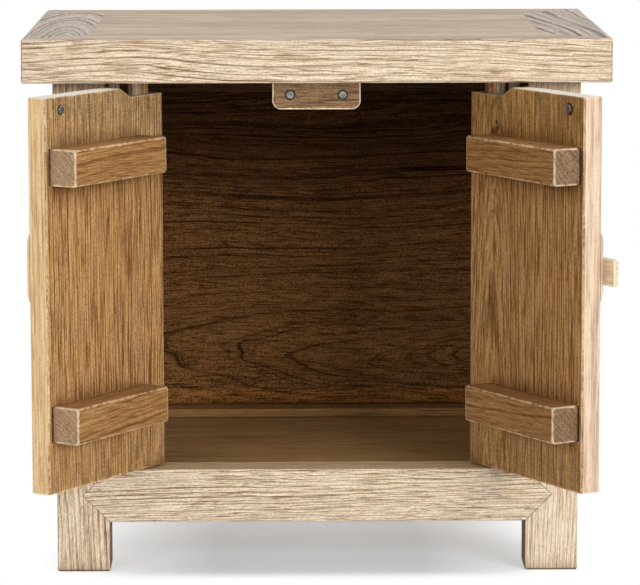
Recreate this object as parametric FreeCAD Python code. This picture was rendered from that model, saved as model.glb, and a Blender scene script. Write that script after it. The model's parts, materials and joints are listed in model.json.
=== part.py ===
import FreeCAD, Part
import os

# Kang cabinet: a low two-door cupboard of solid elm whose doors turn on wooden pins.
# Millimetres, X to the right, Y to the back, Z up. The model is laid out with the floor at Z = 0, the front
# faces of the legs at Y = 0 and X = 0 in the middle, and is moved at the end to the middle of its own box.

# Outside sizes
cabinet_height = 611.0
top_length = 660.0
top_depth = 483.0
top_thickness = 49.5
side_overhang = 33.0
front_overhang = 28.0
back_overhang = 28.0
leg_size = 60.0

# Rails between the legs
rail_foot = 57.5
rail_height = 60.8
rail_depth = 46.0
back_rail_rise = 4.6
top_rail_height = 45.0
tenon_offset = 18.0
tenon_thickness = 13.0
tenon_length = 28.0
tenon_shoulder = 9.0
point_thickness = 15.0

# Panels and boards that sit in grooves
panel_thickness = 12.0
groove_depth = 8.0
panel_play = 0.6
side_panel_setback = 17.0
back_panel_setback = 34.5
back_joint_share = 0.555
board_tongue = 6.0
board_tongue_thickness = 4.0
floor_drop = 6.3
floor_thickness = 15.0
floor_boards = 3
floor_batten_width = 40.0
floor_batten_height = 22.0
batten_tenon = 12.0
batten_tenon_inset = 2.5

# Mitred top
member_width = 75.0
top_edge_round = 2.5
top_panel_thickness = 18.0
top_panel_tongue = 8.0
top_panel_gap = 0.3
mitre_tenon_thickness = 14.0
mitre_tenon_width = 24.0
mitre_tenon_length = 50.0
mitre_tenon_inset = 12.0
mitre_tenon_setback = 24.0
leg_tenon_size = 22.0
leg_tenon_height = 22.0
key_height = 6.0
key_width = 32.0
key_flare = 4.0
top_batten_width = 60.0

# Doors
door_leg_gap = 10.7
door_foot_gap = 2.2
door_head_gap = 4.5
meeting_gap = 1.5
stile_width = 83.5
stile_thickness = 33.0
stile_setback = 3.5
stile_round = 2.0
leaf_thickness = 23.5
leaf_tongue = 10.0
leaf_tongue_thickness = 7.0
leaf_tongue_stop = 12.0
leaf_chamfer = 2.0
notch_depth = 11.0
notch_length = 64.0
pin_diameter = 23.0
pin_inset = 24.7
pin_seat = 16.0
pin_clearance = 0.08
pin_end_gap = 0.3
pin_chamfer = 1.5
left_open_angle = 122.4
right_open_angle = 120.1

# Battens across the inside of each door
batten_reach = 34.0
batten_height = 41.0
batten_hinge_end = 42.4
batten_free_end = 8.0
batten_sink = 5.0
batten_round = 4.0
batten_end_round = 1.5
batten_slack = 3.0
upper_batten_drop = 55.0
lower_batten_rise = 57.0

# Half-round plates and the closing bar
plate_diameter = 75.0
plate_thickness = 3.0
plate_bevel = 9.0
bevel_crown_share = 0.62
plate_height = 370.0
bar_thickness = 7.4
bar_height = 29.5
bar_drop = 5.0
bar_lap = 19.5
bar_tail = 42.0
bar_round = 3.0
bar_relief = 0.6
bar_dowels = 2
bar_dowel_diameter = 6.0
bar_dowel_spacing = 20.0
bar_dowel_in_bar = 4.5
bar_dowel_in_leaf = 10.0

# Catch: block, magnets in steel cups, fixing screws, and the screws that the magnets hold
catch_width = 100.0
catch_height = 35.5
catch_depth = 36.0
catch_round = 10.0
strike_gap = 0.5
magnet_proud = 0.3
magnet_drop = 19.0
magnet_diameter = 8.0
cup_diameter = 10.0
cup_depth = 5.0
cup_floor = 1.0
catch_screw_diameter = 4.0
catch_screw_head = 8.0
catch_screw_bite = 14.0
catch_screw_spacing = 30.0
catch_screw_setback = 24.0
strike_inset = 29.0
strike_head_diameter = 9.5
strike_head_height = 2.0
strike_slot_width = 1.2
strike_slot_depth = 0.8
strike_shank_diameter = 3.6
strike_shank_length = 13.0

# Edges and cutters
edge_ease = 2.0
small_ease = 0.8
foot_chamfer = 1.6
overrun = 5.0
same_place = 0.001

# Turns, in degrees
quarter_turn = 90.0
half_turn = 180.0
full_turn = 360.0

# Places worked out from the sizes above
leg_top = cabinet_height - top_thickness
body_half = top_length / 2 - side_overhang
body_depth = top_depth - front_overhang - back_overhang
opening_half = body_half - leg_size
back_leg_front = body_depth - leg_size
rail_top = rail_foot + rail_height
back_rail_top = rail_top + back_rail_rise
top_rail_foot = leg_top - top_rail_height
top_front = -front_overhang
top_back = top_front + top_depth
floor_top = rail_top - floor_drop
floor_foot = floor_top - floor_thickness

door_width = opening_half - door_leg_gap - meeting_gap / 2
door_foot = rail_top + door_foot_gap
door_head = leg_top - door_head_gap
hinge_edge = -(opening_half - door_leg_gap)
free_edge = hinge_edge + door_width
door_inner = stile_setback + stile_thickness
leaf_outer = door_inner - leaf_thickness
axis_x = hinge_edge + pin_inset
axis_y = stile_setback + stile_thickness / 2
notch_top = door_head - notch_depth
plate_front = leaf_outer - plate_thickness
bar_middle = plate_height - bar_drop
catch_front = door_inner + strike_head_height + strike_gap + magnet_proud
strike_z = leg_top - magnet_drop
strike_x = free_edge - strike_inset


def box(x0, x1, y0, y1, z0, z1):
    """A solid box between two corners."""
    corner = FreeCAD.Vector(x0, y0, z0)
    return Part.makeBox(x1 - x0, y1 - y0, z1 - z0, corner)


def prism(points, direction):
    """A solid made by moving a flat outline along a vector."""
    outline = [FreeCAD.Vector(*point) for point in points]
    face = Part.Face(Part.makePolygon(outline + outline[:1]))
    return face.extrude(FreeCAD.Vector(*direction))


def round_edges(shape, radius, wanted):
    """Round the edges that the test accepts."""
    edges = [edge for edge in shape.Edges if wanted(edge)]
    return shape.makeFillet(radius, edges) if edges else shape


def along(axis):
    """A test for straight edges that run along X, Y or Z, given as 0, 1 or 2."""
    def test(edge):
        first, last = edge.Vertexes[0].Point, edge.Vertexes[-1].Point
        return all(abs(last[i] - first[i]) < same_place for i in range(3) if i != axis)
    return test


def mirrored(shape):
    """The same piece on the other side of the cabinet."""
    return shape.mirror(FreeCAD.Vector(0, 0, 0), FreeCAD.Vector(1, 0, 0))


def turned(shape, angle, x=0.0, y=0.0):
    """A copy turned about the upright line through x, y."""
    copy = shape.copy()
    copy.rotate(FreeCAD.Vector(x, y, 0), FreeCAD.Vector(0, 0, 1), angle)
    return copy


def moved(shape, x, y, z):
    """A copy moved by x, y, z."""
    copy = shape.copy()
    copy.translate(FreeCAD.Vector(x, y, z))
    return copy


def rod(radius, length, x, y, z, direction):
    """A round bar that starts at a point and runs along a direction."""
    return Part.makeCylinder(radius, length, FreeCAD.Vector(x, y, z), FreeCAD.Vector(*direction))


# Legs and rails

def rail(length, depth, height, pointed):
    """A rail with its outer face at Y = 0 and its foot at Z = 0, with a tenon at each end.
    A pointed rail also has a 45 degree shoulder on its outer face, which runs out over the leg."""
    half = length / 2
    beam = box(-half, half, 0, depth, 0, height)
    beam = round_edges(beam, small_ease, along(0))
    tenons = box(-half - tenon_length, half + tenon_length, tenon_offset, tenon_offset + tenon_thickness,
                 tenon_shoulder, height - tenon_shoulder)
    pieces = [tenons]
    if pointed:
        for end in (-1, 1):
            tip = (end * (half + height / 2), 0, height / 2)
            outline = [(end * half, 0, 0), tip, (end * half, 0, height)]
            pieces.append(prism(outline, (0, point_thickness, 0)))
    return beam.fuse(pieces).removeSplitter()


def make_rails():
    """The seven rails of the case. The front has no upper rail: the top carries the doors there."""
    across = 2 * opening_half
    deep = back_leg_front - leg_size
    middle = body_depth / 2
    back_height = back_rail_top - rail_foot
    side_low = rail(deep, rail_depth, rail_height, True)
    side_high = rail(deep, rail_depth, top_rail_height, False)
    rails = {
        "rail_front_bottom": moved(rail(across, rail_depth, rail_height, True), 0, 0, rail_foot),
        "rail_back_bottom": moved(turned(rail(across, leg_size, back_height, False), half_turn),
                                  0, body_depth, rail_foot),
        "rail_back_top": moved(turned(rail(across, leg_size, top_rail_height, False), half_turn),
                               0, body_depth, top_rail_foot),
        "rail_left_bottom": moved(turned(side_low, -quarter_turn), -body_half, middle, rail_foot),
        "rail_left_top": moved(turned(side_high, -quarter_turn), -body_half, middle, top_rail_foot),
    }
    rails["rail_right_bottom"] = mirrored(rails["rail_left_bottom"])
    rails["rail_right_top"] = mirrored(rails["rail_left_top"])
    return rails


def make_leg(x0, y0):
    """A square leg with eased corners, a chamfered foot and a stub tenon that enters the top."""
    leg = box(x0, x0 + leg_size, y0, y0 + leg_size, 0, leg_top)
    leg = round_edges(leg, edge_ease, along(2))
    foot = [edge for edge in leg.Edges if edge.BoundBox.ZMax < foot_chamfer]
    leg = leg.makeChamfer(foot_chamfer, foot)
    return leg.fuse(leg_tenon(x0, y0))


def leg_tenon(x0, y0):
    """The square tenon on the top of a leg."""
    inset = (leg_size - leg_tenon_size) / 2
    return box(x0 + inset, x0 + inset + leg_tenon_size, y0 + inset, y0 + inset + leg_tenon_size,
               leg_top, leg_top + leg_tenon_height)


leg_corners = {
    "leg_front_left": (-body_half, 0),
    "leg_front_right": (opening_half, 0),
    "leg_back_left": (-body_half, back_leg_front),
    "leg_back_right": (opening_half, back_leg_front),
}


# Back, sides and floor

def make_back():
    """Two wide boards, one above the other, with a tongue on the lower one, and the groove they sit in."""
    front = back_leg_front + back_panel_setback
    back = front + panel_thickness
    half = opening_half + groove_depth - panel_play
    low = back_rail_top - groove_depth + panel_play
    high = top_rail_foot + groove_depth - panel_play
    joint = low + back_joint_share * (high - low)
    middle = (front + back) / 2
    tongue = box(-half, half, middle - board_tongue_thickness / 2, middle + board_tongue_thickness / 2,
                 joint, joint + board_tongue)
    boards = {
        "back_board_lower": box(-half, half, front, back, low, joint).fuse(tongue),
        "back_board_upper": box(-half, half, front, back, joint, high).cut(tongue),
    }
    groove = box(-half - panel_play, half + panel_play, front, back, low - panel_play, high + panel_play)
    return boards, groove


def make_side():
    """The left panel and its groove in the legs and the side rails."""
    outer = -body_half + side_panel_setback
    near = leg_size - groove_depth
    far = back_leg_front + groove_depth
    low = rail_top - groove_depth
    high = top_rail_foot + groove_depth
    groove = box(outer, outer + panel_thickness, near, far, low, high)
    panel = box(outer, outer + panel_thickness, near + panel_play, far - panel_play,
                low + panel_play, high - panel_play)
    return panel, groove


def make_floor():
    """Floor boards that run from side to side, tongued together and notched round the legs."""
    near = rail_depth - groove_depth
    far = back_leg_front + groove_depth
    half = body_half - rail_depth + groove_depth
    legs = [box(x, x + leg_size, y, y + leg_size, 0, leg_top) for x, y in leg_corners.values()]
    width = (far - near) / floor_boards
    middle = (floor_foot + floor_top) / 2
    boards = {}
    tongue = None
    for number in range(floor_boards):
        start = near + number * width
        board = box(-half, half, start, start + width, floor_foot, floor_top)
        if tongue:
            board = board.cut(tongue)
        if number < floor_boards - 1:
            tongue = box(-half, half, start + width, start + width + board_tongue,
                         middle - board_tongue_thickness / 2, middle + board_tongue_thickness / 2)
            board = board.fuse(tongue)
        boards["floor_board_%d" % (number + 1)] = board.cut(legs).removeSplitter()
    groove = box(-half, half, near, far, floor_foot, floor_top)
    return boards, groove


def make_floor_batten():
    """The bearer under the middle of the floor, with a tenon into the front and the back rail."""
    half = floor_batten_width / 2
    foot = floor_foot - floor_batten_height
    beam = box(-half, half, rail_depth, back_leg_front, foot, floor_foot)
    tenon_half = half - batten_tenon_inset
    tenons = box(-tenon_half, tenon_half, rail_depth - batten_tenon, back_leg_front + batten_tenon,
                 foot + batten_tenon_inset, floor_foot - batten_tenon_inset)
    return beam.fuse(tenons)


# Mitred top

def make_top():
    """Four mitred members round a flush panel. The long members carry the tenons of the mitres."""
    half = top_length / 2
    slab = box(-half, half, top_front, top_back, leg_top, cabinet_height)
    slab = slab.makeFillet(top_edge_round, slab.Edges)
    inner_half = half - member_width
    inner_front = top_front + member_width
    inner_back = top_back - member_width
    tongue_foot = cabinet_height - top_panel_thickness
    tongue_top = tongue_foot + top_panel_tongue
    ring = slab.cut(box(-inner_half, inner_half, inner_front, inner_back, leg_top, cabinet_height))
    ring = ring.cut(box(-inner_half - groove_depth, inner_half + groove_depth, inner_front - groove_depth,
                        inner_back + groove_depth, tongue_foot, tongue_top))
    ring = ring.cut([leg_tenon(x, y) for x, y in leg_corners.values()])

    corners = [(-half, top_front), (half, top_front), (half, top_back), (-half, top_back)]
    inner = [(-inner_half, inner_front), (inner_half, inner_front),
             (inner_half, inner_back), (-inner_half, inner_back)]
    names = ["top_member_front", "top_member_right", "top_member_back", "top_member_left"]
    members = {}
    for i, name in enumerate(names):
        j = (i + 1) % len(names)
        outline = [corners[i], corners[j], inner[j], inner[i]]
        wedge = prism([(x, y, leg_top) for x, y in outline], (0, 0, top_thickness))
        members[name] = ring.common(wedge)

    tenon_foot = tongue_foot - mitre_tenon_thickness / 2
    tenons = {"front": [], "back": []}
    for side in (-1, 1):
        tip = half - mitre_tenon_inset
        x0, x1 = sorted((side * tip, side * (tip - mitre_tenon_length)))
        near = top_front + mitre_tenon_setback
        far = top_back - mitre_tenon_setback
        tenons["front"].append(box(x0, x1, near, near + mitre_tenon_width, tenon_foot,
                                   tenon_foot + mitre_tenon_thickness))
        tenons["back"].append(box(x0, x1, far - mitre_tenon_width, far, tenon_foot,
                                  tenon_foot + mitre_tenon_thickness))
    for end in ("front", "back"):
        members["top_member_" + end] = members["top_member_" + end].fuse(tenons[end]).removeSplitter()
    for side in ("left", "right"):
        members["top_member_" + side] = members["top_member_" + side].cut(tenons["front"] + tenons["back"])

    gap = top_panel_gap
    reach = groove_depth - panel_play
    panel = box(-inner_half + gap, inner_half - gap, inner_front + gap, inner_back - gap,
                tongue_foot, cabinet_height)
    panel = panel.fuse(box(-inner_half - reach, inner_half + reach, inner_front - reach, inner_back + reach,
                           tongue_foot, tongue_top))
    batten, key = make_top_batten(inner_front, inner_back, tongue_foot)
    members["top_panel"] = panel.cut(key).removeSplitter()
    members["top_batten"] = batten
    for end in ("front", "back"):
        members["top_member_" + end] = members["top_member_" + end].cut(batten)
    return members


def make_top_batten(near, far, top):
    """The dovetailed bearer under the top panel. It ties the front member to the back one."""
    half = top_batten_width / 2
    beam = box(-half, half, near, far, leg_top, top)
    low = key_width / 2
    high = low + key_flare
    key_top = top + key_height
    outline = [(-low, near, top), (low, near, top), (high, near, key_top), (-high, near, key_top)]
    key = prism(outline, (0, far - near, 0))
    tenon_half = half - tenon_shoulder
    tenons = box(-tenon_half, tenon_half, near - tenon_thickness, far + tenon_thickness,
                 leg_top + tenon_shoulder, top - tenon_shoulder)
    return beam.fuse([key, tenons]).removeSplitter(), key


# Doors, drawn closed on the left and turned about their pins at the end

def make_pins():
    """The round pins of one door, cut from the ends of its stile, and the sockets that they turn in."""
    radius = pin_diameter / 2
    low = rail_top - pin_seat
    high = leg_top + pin_seat
    pins = rod(radius, door_foot - low, axis_x, axis_y, low, (0, 0, 1))
    pins = pins.fuse(rod(radius, high - notch_top, axis_x, axis_y, notch_top, (0, 0, 1)))
    ends = [edge for edge in pins.Edges if edge.BoundBox.ZMax < low + small_ease
            or edge.BoundBox.ZMin > high - small_ease]
    pins = pins.makeChamfer(pin_chamfer, ends)
    bore = radius + pin_clearance
    sockets = [rod(bore, pin_seat + pin_end_gap, axis_x, axis_y, low - pin_end_gap, (0, 0, 1)),
               rod(bore, pin_seat + pin_end_gap, axis_x, axis_y, leg_top, (0, 0, 1))]
    return pins, sockets


def make_leaf_tongue():
    """The tongue that joins the thin leaf to the thick stile."""
    joint = hinge_edge + stile_width
    middle = door_inner - leaf_thickness / 2
    return box(joint - leaf_tongue, joint,
               middle - leaf_tongue_thickness / 2, middle + leaf_tongue_thickness / 2,
               door_foot + leaf_tongue_stop, notch_top - leaf_tongue_stop)


def make_stile(pins):
    """The thick hinge stile: square in plan, stepped down round the upper pin, with its two pins."""
    joint = hinge_edge + stile_width
    step = hinge_edge + notch_length
    outline = [(hinge_edge, door_foot), (joint, door_foot), (joint, door_head), (step, notch_top),
               (hinge_edge, notch_top)]
    stile = prism([(x, stile_setback, z) for x, z in outline], (0, stile_thickness, 0))

    def hinge_corner(edge):
        return along(2)(edge) and edge.BoundBox.XMax < hinge_edge + small_ease

    stile = round_edges(stile, stile_round, hinge_corner)
    return stile.fuse(pins).cut(make_leaf_tongue())


def make_leaf():
    """The thin leaf, with a chamfer down the inner corner of its free edge."""
    joint = hinge_edge + stile_width
    outline = [(joint, leaf_outer), (free_edge - small_ease, leaf_outer),
               (free_edge, leaf_outer + small_ease), (free_edge, door_inner - leaf_chamfer),
               (free_edge - leaf_chamfer, door_inner), (joint, door_inner)]
    leaf = prism([(x, y, door_foot) for x, y in outline], (0, 0, door_head - door_foot))
    return leaf.fuse(make_leaf_tongue())


def make_batten(foot):
    """A door batten let into the stile and the leaf. Returns the batten and its housing."""
    x0 = hinge_edge + batten_hinge_end
    x1 = free_edge - batten_free_end
    inner = door_inner - batten_sink
    outer = door_inner + batten_reach
    batten = box(x0, x1, inner, outer, foot, foot + batten_height)

    def front_edge(edge):
        return along(0)(edge) and edge.BoundBox.YMin > outer - small_ease

    batten = round_edges(batten, batten_round, front_edge)

    def end_edge(edge):
        bounds = edge.BoundBox
        at_end = bounds.XMax < x0 + small_ease or bounds.XMin > x1 - small_ease
        in_front = bounds.YMax > outer - batten_round - small_ease and bounds.YMin > inner + small_ease
        return at_end and in_front

    batten = round_edges(batten, batten_end_round, end_edge)
    housing = box(x0, x1 + batten_slack, inner, door_inner + overrun, foot, foot + batten_height)
    return batten, housing


def make_plate():
    """Half of a round plate with a bevelled rim, which meets its other half when the doors are closed."""
    radius = plate_diameter / 2
    flat = radius - plate_bevel
    crown = plate_thickness * bevel_crown_share
    rim = [FreeCAD.Vector(radius, leaf_outer, plate_height),
           FreeCAD.Vector((radius + flat) / 2, leaf_outer - crown, plate_height),
           FreeCAD.Vector(flat, plate_front, plate_height)]
    back = FreeCAD.Vector(0, leaf_outer, plate_height)
    front = FreeCAD.Vector(0, plate_front, plate_height)
    edges = [Part.makeLine(back, rim[0]), Part.Arc(*rim).toShape(),
             Part.makeLine(rim[2], front), Part.makeLine(front, back)]
    face = Part.Face(Part.Wire(edges))
    disc = face.revolve(back, FreeCAD.Vector(0, 1, 0), full_turn)
    side = box(-plate_diameter, free_edge, plate_front, leaf_outer, plate_height - plate_diameter,
               plate_height + plate_diameter)
    return disc.common(side)


def make_bar():
    """The bar fixed across the right half plate. Its end laps over the left one when the doors close."""
    x0 = -free_edge - bar_lap
    x1 = -free_edge + bar_tail
    outer = plate_front - bar_thickness
    low = bar_middle - bar_height / 2
    bar = box(x0, x1, outer, plate_front, low, low + bar_height)
    bar = round_edges(bar, bar_round, along(1))

    def face_edge(edge):
        return edge.BoundBox.YMax < outer + small_ease

    bar = round_edges(bar, edge_ease, face_edge)
    relief = box(x0 - overrun, -free_edge, plate_front - bar_relief, plate_front + overrun, low - overrun,
                 low + bar_height + overrun)
    return bar.cut(relief)


def make_bar_dowels():
    """Two blind dowels that pin the bar and its plate to the right leaf."""
    first = -free_edge + (bar_tail - bar_dowel_spacing) / 2
    length = bar_dowel_in_bar + plate_thickness + bar_dowel_in_leaf
    return [rod(bar_dowel_diameter / 2, length, first + i * bar_dowel_spacing,
                plate_front - bar_dowel_in_bar, bar_middle, (0, 1, 0)) for i in range(bar_dowels)]


def make_strike():
    """The slotted screw in a door's inner face that the magnet holds."""
    head = rod(strike_head_diameter / 2, strike_head_height, strike_x, door_inner, strike_z, (0, 1, 0))
    rim = [edge for edge in head.Edges if edge.BoundBox.YMin > door_inner + strike_head_height / 2]
    head = head.makeFillet(small_ease, rim)
    reach = strike_head_diameter
    slot = box(strike_x - reach, strike_x + reach, door_inner + strike_head_height - strike_slot_depth,
               door_inner + strike_head_height + overrun, strike_z - strike_slot_width / 2,
               strike_z + strike_slot_width / 2)
    shank = rod(strike_shank_diameter / 2, strike_shank_length, strike_x, door_inner, strike_z, (0, -1, 0))
    return head.cut(slot).fuse(shank), shank


# Catch

def make_catch():
    """The block under the top with its two magnets in steel cups, and the two screws that hold it up."""
    half = catch_width / 2
    low = leg_top - catch_height
    back = catch_front + catch_depth
    block = box(-half, half, catch_front, back, low, leg_top)

    def low_corner(edge):
        return along(1)(edge) and edge.BoundBox.ZMax < low + small_ease

    block = round_edges(block, catch_round, low_corner)

    cups, magnets, bores = [], [], []
    for side in (-1, 1):
        face = catch_front - magnet_proud
        cup = rod(cup_diameter / 2, cup_depth, side * strike_x, face, strike_z, (0, 1, 0))
        magnet = rod(magnet_diameter / 2, cup_depth - cup_floor, side * strike_x, face, strike_z, (0, 1, 0))
        bores.append(cup)
        magnets.append(magnet)
        cups.append(cup.cut(magnet))

    screws = []
    radius = catch_screw_diameter / 2
    sink = (catch_screw_head - catch_screw_diameter) / 2
    for side in (-1, 1):
        x = side * catch_screw_spacing / 2
        y = catch_front + catch_screw_setback
        head = Part.makeCone(catch_screw_head / 2, radius, sink, FreeCAD.Vector(x, y, low))
        shank = rod(radius, catch_height + catch_screw_bite - sink, x, y, low + sink, (0, 0, 1))
        screws.append(head.fuse(shank))
    return block.cut(bores + screws), cups, magnets, screws


def make_case():
    """Every piece that stays still."""
    rails = make_rails()
    back_boards, back_groove = make_back()
    panel, groove = make_side()
    floor, floor_groove = make_floor()
    floor_batten = make_floor_batten()
    top = make_top()
    pins, sockets = make_pins()
    sockets = sockets + [mirrored(socket) for socket in sockets]
    block, cups, magnets, screws = make_catch()

    grooves = [back_groove, groove, mirrored(groove)]
    case = {}
    for name, corner in leg_corners.items():
        case[name] = make_leg(*corner).cut(list(rails.values()) + grooves)
    for name, shape in rails.items():
        case[name] = shape.cut(grooves + [floor_groove, floor_batten] + sockets)
    case.update(back_boards)
    case["panel_left"] = panel
    case["panel_right"] = mirrored(panel)
    case.update(floor)
    case["floor_batten"] = floor_batten
    case.update(top)
    case["top_member_front"] = case["top_member_front"].cut(sockets)
    case["top_batten"] = case["top_batten"].cut(screws)
    case["catch_block"] = block
    case["catch_cups"] = Part.makeCompound(cups)
    case["catch_magnets"] = Part.makeCompound(magnets)
    case["catch_screws"] = Part.makeCompound(screws)
    return case


def make_door():
    """The pieces that both doors share, closed, as they stand on the left."""
    pins, sockets = make_pins()
    strike, shank = make_strike()
    upper, upper_housing = make_batten(door_head - upper_batten_drop - batten_height)
    lower, lower_housing = make_batten(door_foot + lower_batten_rise)
    housings = [upper_housing, lower_housing]
    return {
        "stile": make_stile(pins).cut(housings),
        "leaf": make_leaf().cut(housings + [shank]),
        "batten_upper": upper,
        "batten_lower": lower,
        "plate": make_plate(),
        "strike_screw": strike,
    }


def main():
    os.makedirs("parts", exist_ok=True)
    pieces = make_case()
    left = make_door()
    right = {name: mirrored(shape) for name, shape in make_door().items()}
    dowels = make_bar_dowels()
    right["leaf"] = right["leaf"].cut(dowels)
    right["plate"] = right["plate"].cut(dowels)
    right["closing_bar"] = make_bar().cut(dowels)
    right["bar_dowels"] = Part.makeCompound(dowels)
    for name, shape in left.items():
        pieces["left_" + name] = turned(shape, -left_open_angle, axis_x, axis_y)
    for name, shape in right.items():
        pieces["right_" + name] = turned(shape, right_open_angle, -axis_x, axis_y)

    whole = Part.makeCompound(list(pieces.values())).BoundBox
    shift = FreeCAD.Vector(-whole.Center.x, -whole.Center.y, -whole.ZMin)
    for name, shape in pieces.items():
        shape = shape.copy()
        shape.translate(shift)
        shape.exportStep("parts/%s.step" % name)
        state = "ok" if shape.isValid() else "NOT VALID"
        print("%-20s %d solids %9.0f mm3 %s" % (name, len(shape.Solids), shape.Volume, state))
    print("box %.3f %.3f %.3f to %.3f %.3f %.3f" % (whole.XMin, whole.YMin, whole.ZMin,
                                                   whole.XMax, whole.YMax, whole.ZMax))
    print("shift %.4f %.4f %.4f" % tuple(shift))
    print("left pin axis %.4f %.4f" % (axis_x + shift.x, axis_y + shift.y))
    print("right pin axis %.4f %.4f" % (-axis_x + shift.x, axis_y + shift.y))


main()
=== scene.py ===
import bpy
import json
import math
from mathutils import Matrix, Vector


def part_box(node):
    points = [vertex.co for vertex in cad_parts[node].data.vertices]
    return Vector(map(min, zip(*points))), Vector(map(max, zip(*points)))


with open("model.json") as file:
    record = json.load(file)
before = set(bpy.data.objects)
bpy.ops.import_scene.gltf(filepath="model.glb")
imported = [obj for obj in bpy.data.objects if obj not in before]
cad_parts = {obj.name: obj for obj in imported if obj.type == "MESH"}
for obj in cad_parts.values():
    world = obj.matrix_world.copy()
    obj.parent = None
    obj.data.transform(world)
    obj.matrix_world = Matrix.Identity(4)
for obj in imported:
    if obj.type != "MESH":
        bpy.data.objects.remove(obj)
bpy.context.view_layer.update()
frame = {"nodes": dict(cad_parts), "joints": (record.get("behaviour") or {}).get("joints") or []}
nodes = frame["nodes"]
print("frame loaded,", len(nodes), "nodes")


# Small helpers for shader trees

def feed(tree, value, socket):  # a socket is linked, anything else is set as a number or colour
    if isinstance(value, bpy.types.NodeSocket):
        tree.links.new(value, socket)
    else:
        socket.default_value = value


def addNode(tree, kind, inputs=None, **settings):
    made = tree.nodes.new("ShaderNode" + kind)
    for name, value in settings.items():
        setattr(made, name, value)
    for key, value in (inputs or {}).items():
        feed(tree, value, made.inputs[key])
    return made


def calc(tree, operation, first, second=0.0):
    return addNode(tree, "Math", {0: first, 1: second}, operation=operation).outputs[0]


def vectorCalc(tree, operation, first, second=(0.0, 0.0, 0.0)):
    other = 3 if operation == "SCALE" else 1
    made = addNode(tree, "VectorMath", {0: first, other: second}, operation=operation)
    return made.outputs["Value" if operation in ("DOT_PRODUCT", "LENGTH") else "Vector"]


def join(tree, x, y, z=0.0):
    return addNode(tree, "CombineXYZ", {0: x, 1: y, 2: z}).outputs[0]


def split(tree, vector):
    return addNode(tree, "SeparateXYZ", {0: vector}).outputs


def blend(tree, factor, first, second, mode="MIX"):  # a plain colour is three numbers
    made = addNode(tree, "Mix", data_type="RGBA", blend_type=mode)
    for key, value in ((0, factor), (6, first), (7, second)):
        feed(tree, (*value, 1.0) if isinstance(value, tuple) else value, made.inputs[key])
    return made.outputs[2]


def remap(tree, value, low, high, toLow=0.0, toHigh=1.0, smooth=False):
    made = addNode(tree, "MapRange", {0: value, 1: low, 2: high, 3: toLow, 4: toHigh},
                   interpolation_type="SMOOTHSTEP" if smooth else "LINEAR")
    return made.outputs[0]


def noise(tree, vector, scale=1.0, detail=2.0, roughness=0.5, colour=False):
    made = addNode(tree, "TexNoise", {"Vector": vector, "Scale": scale, "Detail": detail,
                                      "Roughness": roughness})
    return made.outputs["Color" if colour else "Fac"]


def newGroup(name, vectors, numbers, masks):  # an effect, with its numbers' usual values
    group = bpy.data.node_groups.new(name, "ShaderNodeTree")
    for label in vectors:
        group.interface.new_socket(label, in_out="INPUT", socket_type="NodeSocketVector")
    for label, value in numbers.items():
        group.interface.new_socket(label, in_out="INPUT", socket_type="NodeSocketFloat").default_value = value
    for label in masks:
        group.interface.new_socket(label, in_out="OUTPUT", socket_type="NodeSocketFloat")
    return group, group.nodes.new("NodeGroupInput").outputs, group.nodes.new("NodeGroupOutput").inputs


def useGroup(tree, group, values):
    return addNode(tree, "Group", values, node_tree=group).outputs


def newMaterial(name):
    material = bpy.data.materials.new(name)
    material.use_nodes = True
    return material, material.node_tree, material.node_tree.nodes["Principled BSDF"]


# Effects that several finishes share

elm = {  # usual values, in metres; each board may change them
    "Seed": 0.0, "Pith Across": 0.0, "Pith Depth": 0.1, "Taper": 0.05, "Ring Width": 0.004, "Line Share": 0.3,
    "Wander": 0.02, "Ripple": 0.004, "Ragged": 0.0006, "Break": 0.35, "Faint": 0.3, "Pore Length": 0.035,
    "Pore Width": 0.0014, "Fleck Length": 0.003, "Fleck Width": 0.0011, "Crease Length": 0.028,
    "Crease Width": 0.0029}
elmNoise = {"Wander": (2.4, 9.0, 9.0), "Ripple": (13.0, 55.0, 55.0), "Ragged": (160.0, 420.0, 420.0),
            "clouds": (4.0, 13.0, 13.0), "bands": (1.3, 60.0), "seed": (3.71, 1.93, 2.57), "rough": 0.55}
elmCells = {"fleck": (0.0, 1.0), "pore": (5.3, 1.5), "field": (9.1, 2.0), "crease": (2.7, 1.5)}  # shift, detail
elmCuts = {"faint": (0.34, 0.6), "gap": (0.4, 0.54), "ringBreak": (0.36, 0.46, 0.75, 1.0),
           "pore": (0.555, 0.59), "poreField": (0.38, 0.58, 0.35, 1.0), "fleck": (0.41, 0.51),
           "crease": (0.01, 0.04, 1.0, 0.0), "creaseBreak": (0.42, 0.5), "fibre": (0.36, 0.64),
           "band": (0.3, 0.7), "cloud": (0.32, 0.68)}
elmRings = {"uneven": (55.0, 4.0), "edge": 0.4, "own": (0.83, 4.0), "second": (1.6, 0.37),
            "secondShare": 0.9, "secondStrength": 0.55}
elmMix = {"fine": 0.5, "fleck": 0.2, "wide": 0.2, "swell": 0.1, "sunk": 0.5, "raised": 0.6}
field = {"length": 0.09, "width": 0.006}  # the patches in which lines and pores gather


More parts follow.
